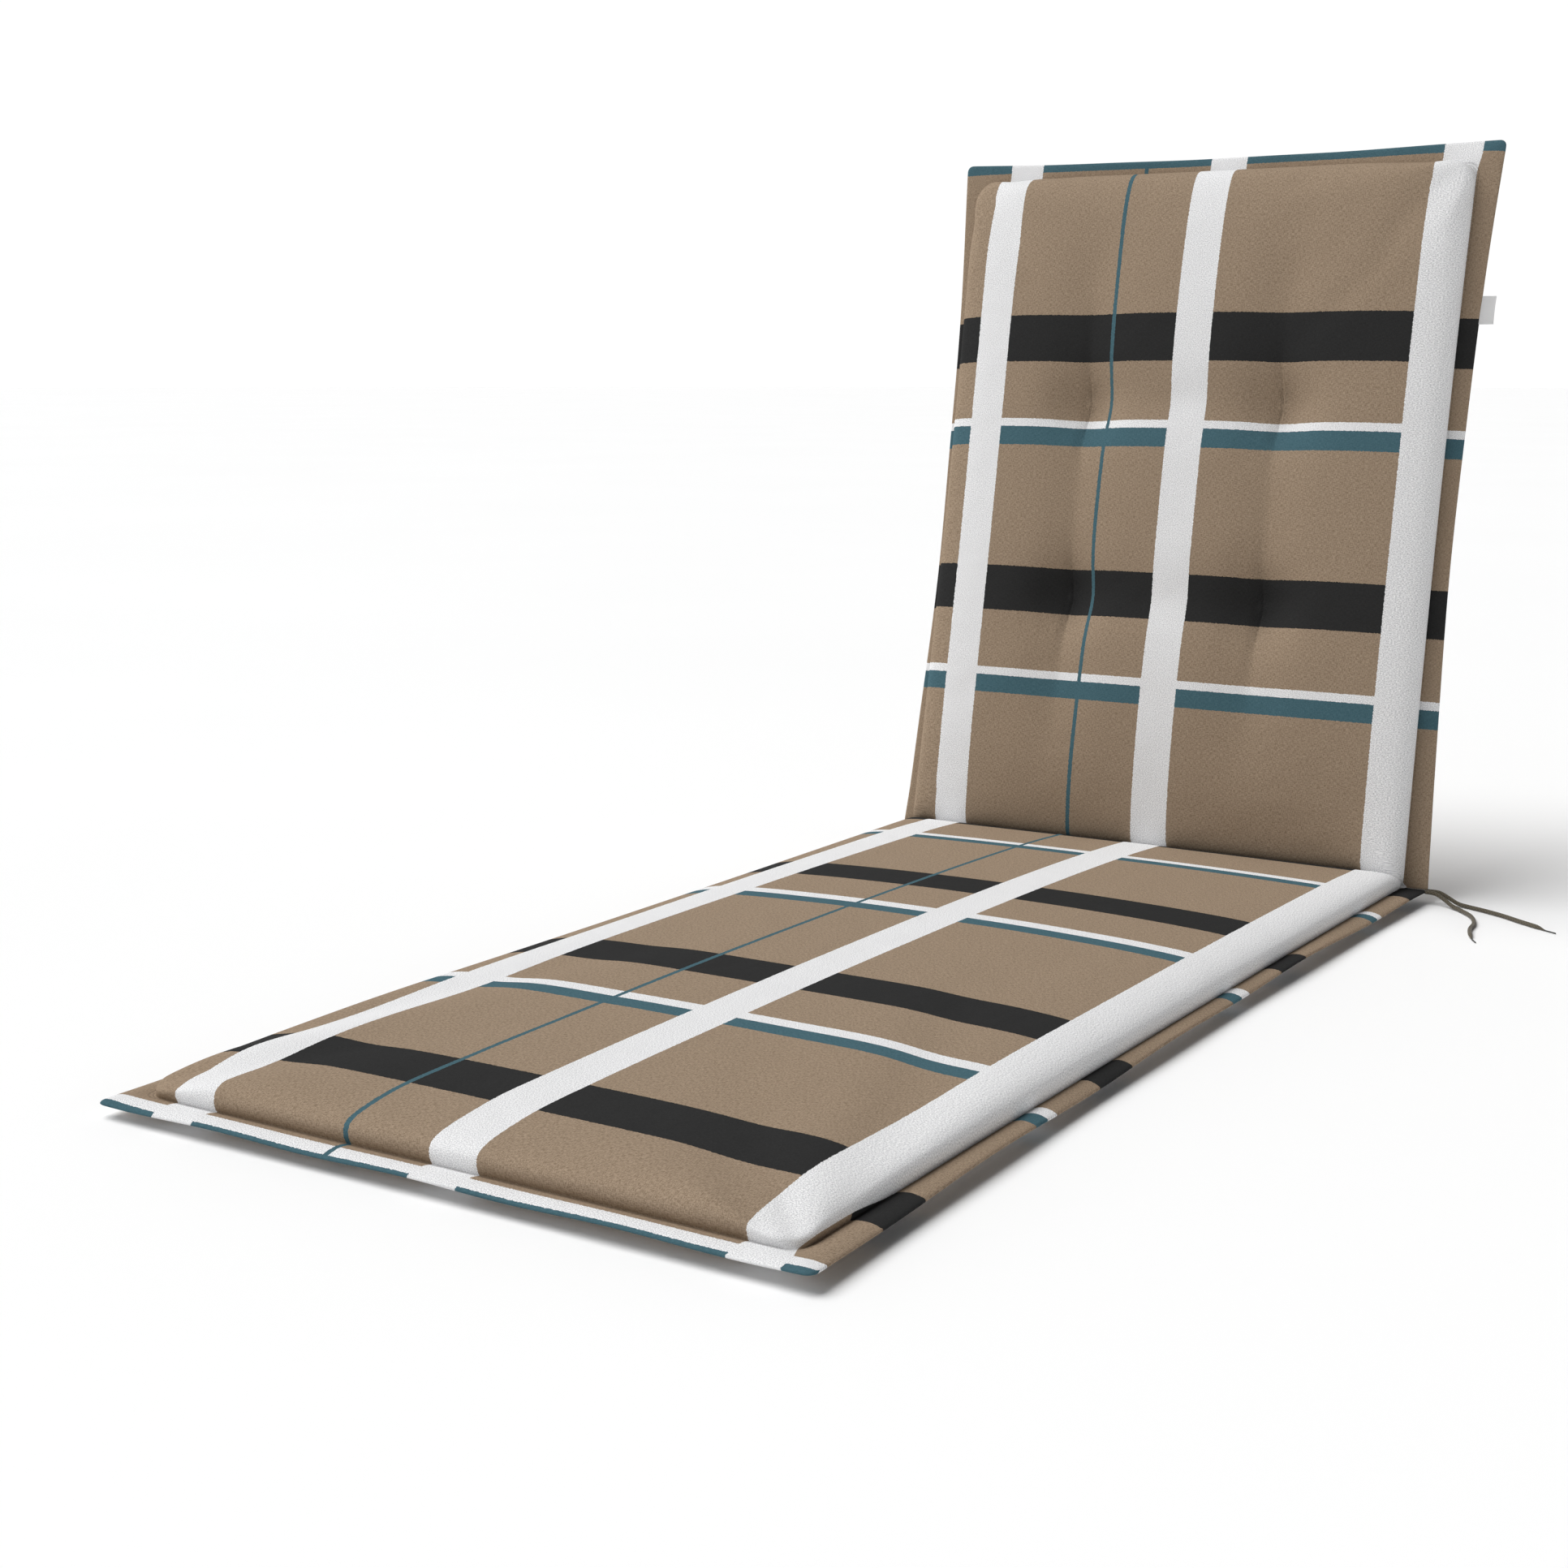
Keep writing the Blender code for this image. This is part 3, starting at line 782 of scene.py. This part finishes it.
    # Relief: shallow rumples 20 to 60 mm long, the stitch line, the folds at the tufts, and the threads
    rumple = add_node(tree, "ShaderNodeTexNoise", {"noise_dimensions": "2D"}, {
        "Vector": weave, "Scale": RUMPLE_SCALE, "Detail": 2.0, "Roughness": 0.5,
    }).outputs["Fac"]
    relief = add_node(tree, "ShaderNodeBump", {}, {
        "Strength": 1.0, "Distance": RUMPLE_DEPTH, "Height": rumple,
    }).outputs[0]
    if tufted:
        relief = add_node(tree, "ShaderNodeBump", {}, {
            "Strength": 1.0, "Distance": CREASE_DEPTH, "Height": tuft_creases(tree, across, along),
            "Normal": relief,
        }).outputs[0]
    relief = add_node(tree, "ShaderNodeBump", {"invert": True}, {
        "Strength": 1.0, "Distance": STITCH_DEPTH, "Height": on_line, "Normal": relief,
    }).outputs[0]
    relief = add_node(tree, "ShaderNodeBump", {}, {
        "Strength": THREAD_STRENGTH, "Distance": THREAD_DEPTH, "Height": both, "Normal": relief,
    }).outputs[0]
    tree.links.new(relief, shader.inputs["Normal"])
    return material


def braided_cord(name, tip):
    """Polyester cord, flat braided and matt.

    The eye gets a dull olive brown with small slanted steps, drawn as painted shade in their hollows and
    painted light on their crests, and a thin darker tail where the braid ends.
    """
    colours = bpy.context.scene.cushion_tie
    material, tree, shader = new_material(name)
    place = add_node(tree, "ShaderNodeUVMap", {"uv_map": "braid"}).outputs[0]

    # Strands slant both ways
    strands = []
    for slant in (1.0, -1.0):
        turned = add_node(tree, "ShaderNodeMapping", {"vector_type": "POINT"}, {
            "Vector": place, "Rotation": (0.0, 0.0, slant * BRAID_SLANT),
        }).outputs[0]
        wave = add_node(tree, "ShaderNodeTexWave", {"bands_direction": "X"}, {
            "Vector": turned, "Scale": wave_scale(BRAID_TURN), "Distortion": 0.6, "Detail": 1.0,
        })
        strands.append(wave.outputs["Fac"])
    braid = add_row(tree, strands[0], ("MULTIPLY", strands[1]))
    # Painted shade in the hollows of the braid and painted light on its crests
    dark, light = (*colours.cord_shaded_hollows, 1.0), (*colours.cord_lit_crests, 1.0)
    colour = add_node(tree, *COLOUR_MIX, {0: braid, 6: dark, 7: light}).outputs[2]
    spot = add_node(tree, "ShaderNodeTexCoord").outputs["Object"]
    distance = add_node(tree, "ShaderNodeVectorMath", {"operation": "DISTANCE"},
                        {0: spot, 1: tip}).outputs["Value"]
    tail = add_node(tree, "ShaderNodeMapRange", {}, {
        "Value": distance, "From Min": TAIL_LENGTH, "From Max": TAIL_LENGTH + 2 * TAIL_EDGE,
        "To Min": 1.0, "To Max": 0.0,
    }).outputs[0]
    colour = add_node(tree, *COLOUR_MIX, {0: tail, 6: colour, 7: (*colours.tail, 1.0)}).outputs[2]
    tree.links.new(colour, shader.inputs["Base Color"])
    shader.inputs["Roughness"].default_value = 0.82
    shader.inputs["IOR"].default_value = 1.45
    shader.inputs["Sheen Weight"].default_value = 0.15
    relief = add_node(tree, "ShaderNodeBump", {}, {
        "Strength": 0.8, "Distance": BRAID_DEPTH, "Height": braid,
    }).outputs[0]
    tree.links.new(relief, shader.inputs["Normal"])
    return material


def satin_tape(name):
    """Woven polyester satin tape, folded and heat cut.

    The eye gets a clean white with fine ribs across it, drawn as painted shade between them and painted
    light on their crests, and a soft, slightly shiny surface.
    """
    colours = bpy.context.scene.cushion_label
    material, tree, shader = new_material(name)
    place = add_node(tree, "ShaderNodeTexCoord").outputs["Object"]

    ribs = add_node(tree, "ShaderNodeTexWave", {"bands_direction": "Z"}, {
        "Vector": place, "Scale": wave_scale(RIB_STEP), "Distortion": 0.4, "Detail": 1.0,
    }).outputs["Fac"]
    grain = add_node(tree, "ShaderNodeTexNoise", {}, {
        "Vector": place, "Scale": TAPE_GRAIN_SCALE, "Detail": 2.0,
    }).outputs["Fac"]
    # Painted shade between the ribs and painted light on their crests
    dark, light = (*colours.tape_shaded_hollows, 1.0), (*colours.tape_lit_crests, 1.0)
    colour = add_node(tree, *COLOUR_MIX, {0: ribs, 6: dark, 7: light}).outputs[2]
    tree.links.new(colour, shader.inputs["Base Color"])
    roughness = add_node(tree, "ShaderNodeMapRange", {}, {
        "Value": grain, "From Min": 0.3, "From Max": 0.7, "To Min": 0.42, "To Max": 0.58,
    }).outputs[0]
    tree.links.new(roughness, shader.inputs["Roughness"])
    shader.inputs["IOR"].default_value = 1.5
    shader.inputs["Sheen Weight"].default_value = 0.2
    relief = add_node(tree, "ShaderNodeBump", {}, {
        "Strength": 0.5, "Distance": RIB_DEPTH, "Height": ribs,
    }).outputs[0]
    tree.links.new(relief, shader.inputs["Normal"])
    return material


def pale_floor(name):
    """Matt painted studio floor: an even, pale surface with a faint mottle."""
    material, tree, shader = new_material(name)
    place = add_node(tree, "ShaderNodeTexCoord").outputs["Object"]
    mottle = add_node(tree, "ShaderNodeTexNoise", {}, {
        "Vector": place, "Scale": FLOOR_MOTTLE_SCALE, "Detail": 3.0,
    }).outputs["Fac"]
    dark, light = (*linear("#F9F9F9"), 1.0), (*linear("#FDFDFD"), 1.0)
    colour = add_node(tree, *COLOUR_MIX, {0: mottle, 6: dark, 7: light}).outputs[2]
    tree.links.new(colour, shader.inputs["Base Color"])
    shader.inputs["Roughness"].default_value = 0.9
    return material


# Tubes and small pieces

def distances_along(points):
    """How far along the points each of them is."""
    reached = [0.0]
    for previous, point in zip(points, points[1:]):
        reached.append(reached[-1] + (point - previous).length)
    return reached


def smooth_route(route):
    """Reads points at an even spacing from a smooth curve through the route's own points."""
    points = [Vector(point) for point in route]
    ends = [2 * points[0] - points[1]] + points + [2 * points[-1] - points[-2]]
    fine = []
    for before, start, finish, after in zip(ends, ends[1:], ends[2:], ends[3:]):
        for step in range(TIE_SAMPLES):
            fine.append(curve_between(before, start, finish, after, step / TIE_SAMPLES))
    fine.append(points[-1])
    reached = distances_along(fine)
    count = round(reached[-1] / TIE_SPACING)
    chosen = []
    for step in range(count + 1):
        target = reached[-1] * step / count
        index = min(range(len(reached)), key=lambda item: abs(reached[item] - target))
        chosen.append(fine[index])
    return chosen


def add_tube(mesh, points, radii, uv_layer):
    """Adds a closed tube along the points, with lengths in metres as its coordinates."""
    rings = []
    runs = distances_along(points)
    for index, point in enumerate(points):
        ahead = (points[min(index + 1, len(points) - 1)] - points[max(index - 1, 0)]).normalized()
        side = ahead.cross(Vector((0.0, 0.0, 1.0))).normalized()
        up = side.cross(ahead)
        ring = []
        for step in range(TIE_SIDES):
            angle = math.tau * step / TIE_SIDES
            offset = side * math.cos(angle) + up * math.sin(angle)
            ring.append(mesh.verts.new(point + offset * radii[index]))
        rings.append(ring)
    for index, (ring, following) in enumerate(zip(rings, rings[1:])):
        for step in range(TIE_SIDES):
            other = (step + 1) % TIE_SIDES
            face = mesh.faces.new((ring[step], ring[other], following[other], following[step]))
            face.smooth = True
            around = math.tau * radii[0] / TIE_SIDES
            places = ((step, index), (step + 1, index), (step + 1, index + 1), (step, index + 1))
            for loop, (turn, reach) in zip(face.loops, places):
                loop[uv_layer].uv = (turn * around, runs[reach])
    mesh.faces.new(rings[0][::-1])
    mesh.faces.new(rings[-1])


def finish_mesh(mesh, name, material):
    """Turns the built mesh into an object with its material."""
    bmesh.ops.recalc_face_normals(mesh, faces=mesh.faces)
    data = bpy.data.meshes.new(name)
    mesh.to_mesh(data)
    mesh.free()
    data.materials.append(material)
    piece = bpy.data.objects.new(name, data)
    bpy.context.scene.collection.objects.link(piece)
    return piece


def make_tie(name, node, route, diameter):
    """Builds one free end of the tie: a braided cord whose tail thins out, laid along its route."""
    shift = Vector((-FOOTPRINT_MIDDLE[0], -FOOTPRINT_MIDDLE[1], 0.0))
    points = [point + shift for point in smooth_route(route)]
    lengths = distances_along(points)
    total = lengths[-1]
    radii = []
    for reached in lengths:
        grown = smooth_step(TAIL_LENGTH - TAIL_EDGE, TAIL_LENGTH + TAIL_TAPER, total - reached)
        radii.append(diameter / 2 * (TAIL_SHARE + (1.0 - TAIL_SHARE) * grown))
    mesh = bmesh.new()
    layer = mesh.loops.layers.uv.new("braid")
    lowered = []
    for point, radius, reached in zip(points, radii, lengths):
        tail = total - TAIL_LENGTH
        drop = (diameter / 2 - radius) * smooth_step(tail - TAIL_TAPER, tail, reached)
        lowered.append(point - Vector((0.0, 0.0, drop)))
    add_tube(mesh, lowered, radii, layer)
    tie = finish_mesh(mesh, name, braided_cord(name + "_braided_polyester", lowered[-1]))
    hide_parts(node)
    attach(tie, "root")
    return tie


# Settings

def colour_setting(name, description, hex_colour):
    """A colour that the panel shows."""
    return FloatVectorProperty(name=name, description=description, subtype="COLOR", size=3,
                               min=0.0, max=1.0, default=linear(hex_colour))


class ClothSettings(bpy.types.PropertyGroup):
    """Colours of the woven check and its threads."""
    ground_dark: colour_setting("Ground dark", "Darker threads of the ground", "#84725F")
    ground_light: colour_setting("Ground light", "Lighter threads of the ground", "#A7947F")
    black_dark: colour_setting("Black dark", "Darker threads of the black bands", "#2B2B2B")
    black_light: colour_setting("Black light", "Lighter threads of the black bands", "#323232")
    teal_dark: colour_setting("Teal dark", "Darker threads of the teal bands", "#405D66")
    teal_light: colour_setting("Teal light", "Lighter threads of the teal bands", "#4E6D77")
    white_dark: colour_setting("White dark", "Darker specks of the white bands", "#C6C6C8")
    white_light: colour_setting("White light", "Lighter specks of the white bands", "#FCFCFC")


class TieSettings(bpy.types.PropertyGroup):
    """Size and colours of the tie cord."""
    diameter: FloatProperty(name="Diameter", description="Thickness of the tie cord", subtype="DISTANCE",
                            unit="LENGTH", min=0.001, max=0.01, default=0.0040)
    # Painted shade in the braid's hollows and painted light on its crests
    cord_shaded_hollows: colour_setting("Cord dark", "Hollows of the braid", "#4E473A")
    cord_lit_crests: colour_setting("Cord light", "Crests of the braid", "#6B6351")
    tail: colour_setting("Tail", "Thin tail where the braid ends", "#3A3A38")


class LabelSettings(bpy.types.PropertyGroup):
    """Size and colours of the blank tab."""
    thickness: FloatProperty(name="Thickness", description="Both layers of the folded tape together",
                             subtype="DISTANCE", unit="LENGTH", min=0.0004, max=0.002, default=0.0010)
    # Painted shade between the ribs and painted light on their crests
    tape_shaded_hollows: colour_setting("Tape dark", "Hollows between the ribs", "#CDCDCE")
    tape_lit_crests: colour_setting("Tape light", "Crests of the ribs", "#E2E2E2")


class StageSettings(bpy.types.PropertyGroup):
    """Light of the studio."""
    sun: FloatProperty(name="Key light", description="Strength of the large soft light overhead",
                       min=0.0, max=10.0, default=2.8)
    horizon: FloatProperty(name="Horizon", description="Brightness of the surroundings at floor level",
                           min=0.0, max=2.0, default=1.02)
    sky_left: FloatProperty(name="Sky, left", description="Brightness of the surroundings above the left",
                            min=0.0, max=2.0, default=0.36)
    sky_right: FloatProperty(name="Sky, right", description="Brightness of the surroundings above the right",
                             min=0.0, max=2.0, default=0.0)


# Operators

class CUSHION_OT_stage(bpy.types.Operator):
    """Adds the camera, the pale floor and the soft studio light"""
    bl_idname = "cushion.stage"
    bl_label = "Stage"

    def execute(self, context):
        scene = context.scene
        settings = scene.cushion_stage
        camera_data = bpy.data.cameras.new("camera")
        camera_data.lens = CAMERA_LENS
        camera_data.sensor_width = CAMERA_SENSOR
        camera_data.clip_start = 0.05
        camera_data.clip_end = 100.0
        camera = bpy.data.objects.new("camera", camera_data)
        camera.location = CAMERA_PLACE
        camera.rotation_euler = Vector(CAMERA_FORWARD).to_track_quat("-Z", "Y").to_euler()
        scene.collection.objects.link(camera)
        scene.camera = camera

        mesh = bmesh.new()
        bmesh.ops.create_circle(mesh, cap_ends=True, segments=FLOOR_SIDES, radius=FLOOR_RADIUS)
        floor = finish_mesh(mesh, "floor", pale_floor("matt_studio_paint"))

        sun_data = bpy.data.lights.new("key_light", "SUN")
        sun_data.energy = settings.sun
        sun_data.angle = SUN_SPREAD
        sun = bpy.data.objects.new("key_light", sun_data)
        sun.rotation_euler = Vector(SUN_DIRECTION).to_track_quat("Z", "Y").to_euler()
        scene.collection.objects.link(sun)

        # Surroundings: bright near the horizon, where they meet the floor, and dimmer overhead
        world = bpy.data.worlds.new("studio")
        world.use_nodes = True
        tree = world.node_tree
        view = add_node(tree, "ShaderNodeTexCoord").outputs["Generated"]
        direction = add_node(tree, "ShaderNodeSeparateXYZ", {}, {0: view})
        overhead = add_node(tree, "ShaderNodeMapRange", {"interpolation_type": "SMOOTHSTEP"}, {
            "Value": direction.outputs["X"], "From Min": -SKY_SIDES, "From Max": SKY_SIDES,
            "To Min": settings.sky_left, "To Max": settings.sky_right,
        }).outputs[0]
        brightness = add_node(tree, "ShaderNodeMapRange", {"interpolation_type": "SMOOTHSTEP"}, {
            "Value": direction.outputs["Z"], "From Min": BRIGHT_BELOW, "From Max": DIM_ABOVE,
            "To Min": settings.horizon, "To Max": overhead,
        }).outputs[0]
        background = tree.nodes["Background"]
        background.inputs["Color"].default_value = (1.0, 1.0, 1.0, 1.0)
        tree.links.new(brightness, background.inputs["Strength"])
        scene.world = world
        scene.view_settings.view_transform = "Standard"
        return {"FINISHED"}


class CUSHION_OT_ties(bpy.types.Operator):
    """Builds the two free ends of the tie"""
    bl_idname = "cushion.ties"
    bl_label = "Tie"

    def execute(self, context):
        diameter = context.scene.cushion_tie.diameter
        make_tie("tie_long_cord", "tie_long", TIE_LONG_ROUTE, diameter)
        make_tie("tie_short_cord", "tie_short", TIE_SHORT_ROUTE, diameter)
        return {"FINISHED"}


class CUSHION_OT_pads(bpy.types.Operator):
    """Builds the filled covers of the seat and the back"""
    bl_idname = "cushion.pads"
    bl_label = "Pads"

    def execute(self, context):
        works = (
            (SEAT, "seat_cover", "seat_cloth", HINGE_LINE, (SEAT_BLACK, SEAT_WHITE, SEAT_TEAL, False)),
            (BACK, "back_cover", "back_cloth", BACK_FRAME, (BACK_BLACK, BACK_WHITE, BACK_TEAL, True)),
        )
        for pad, name, slot, placement, look in works:
            cover, sewn = make_cover(pad, name)
            fill_cover(pad, cover, sewn)
            subdivide(cover)
            cover.data.shade_smooth()
            cover.data.materials.clear()
            cover.data.materials.append(woven_plaid(slot + "_yarn_dyed_canvas", *look))
            cover.data.transform(placement)
            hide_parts(pad.node)
            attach(cover, "root")
        return {"FINISHED"}


class CUSHION_OT_label(bpy.types.Operator):
    """Folds the blank tab and sews it into the right border of the back"""
    bl_idname = "cushion.label"
    bl_label = "Tab"

    def execute(self, context):
        half = context.scene.cushion_label.thickness / 2
        turn = LABEL_REACH - half
        outline = [(LABEL_ROOT, half), (turn, half)]
        for step in range(1, LABEL_FOLD_STEPS):
            angle = math.radians(90.0 - 180.0 * step / LABEL_FOLD_STEPS)
            outline.append((turn + half * math.cos(angle), half * math.sin(angle)))
        outline += [(turn, -half), (LABEL_ROOT, -half), (LABEL_ROOT, -LABEL_GAP), (turn, -LABEL_GAP),
                    (turn + LABEL_GAP, 0.0), (turn, LABEL_GAP), (LABEL_ROOT, LABEL_GAP)]
        seam = WIDTH / 2 - draw_in_at(BACK, LABEL_MIDDLE)
        mesh = bmesh.new()
        loops = []
        for step in range(LABEL_STEPS + 1):
            share = step / LABEL_STEPS
            along = LABEL_MIDDLE + LABEL_LENGTH * (share - 0.5)
            loop = []
            lift = LABEL_BOW * math.sin(math.pi * share + LABEL_BOW_TURN)
            for x, height in outline:
                bow = lift * (max(x, 0.0) / LABEL_REACH) ** 2
                loop.append(mesh.verts.new((seam + x, along, height - LABEL_SETBACK + bow)))
            loops.append(loop)
        for lower, upper in zip(loops, loops[1:]):
            for index in range(len(outline)):
                following = (index + 1) % len(outline)
                mesh.faces.new((lower[index], lower[following], upper[following], upper[index]))
        mesh.faces.new(loops[0][::-1])
        mesh.faces.new(loops[-1])
        bmesh.ops.triangulate(mesh, faces=[face for face in mesh.faces if len(face.verts) > 4])
        tab = finish_mesh(mesh, "label_tab", satin_tape("woven_satin_tape"))
        tab.data.transform(BACK_FRAME)
        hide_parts("label")
        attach(tab, "root")
        return {"FINISHED"}


class VIEW3D_PT_cushion(bpy.types.Panel):
    """Buttons and settings of the cushion"""
    bl_label = "Lounger cushion"
    bl_space_type = "VIEW_3D"
    bl_region_type = "UI"
    bl_category = "Cushion"

    def draw(self, context):
        for operator in OPERATORS:
            self.layout.operator(operator.bl_idname)
        for group, _ in SETTINGS:
            settings = getattr(context.scene, group)
            for name in settings.bl_rna.properties.keys():
                if name not in ("name", "rna_type"):
                    self.layout.prop(settings, name)


OPERATORS = (CUSHION_OT_stage, CUSHION_OT_ties, CUSHION_OT_pads, CUSHION_OT_label)
SETTINGS = (
    ("cushion_cloth", ClothSettings),
    ("cushion_tie", TieSettings),
    ("cushion_label", LabelSettings),
    ("cushion_stage", StageSettings),
)


def register():
    """Registers the settings, the operators and the panel."""
    for group, settings in SETTINGS:
        bpy.utils.register_class(settings)
        setattr(bpy.types.Scene, group, PointerProperty(type=settings))
    for operator in OPERATORS:
        bpy.utils.register_class(operator)
    bpy.utils.register_class(VIEW3D_PT_cushion)


def unregister():
    """Removes what register added."""
    bpy.utils.unregister_class(VIEW3D_PT_cushion)
    for operator in reversed(OPERATORS):
        bpy.utils.unregister_class(operator)
    for group, settings in reversed(SETTINGS):
        delattr(bpy.types.Scene, group)
        bpy.utils.unregister_class(settings)


def main():
    """Registers the add-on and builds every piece."""
    register()
    bpy.ops.cushion.stage()
    bpy.ops.cushion.ties()
    bpy.ops.cushion.pads()
    bpy.ops.cushion.label()


if __name__ == "__main__":
    main()
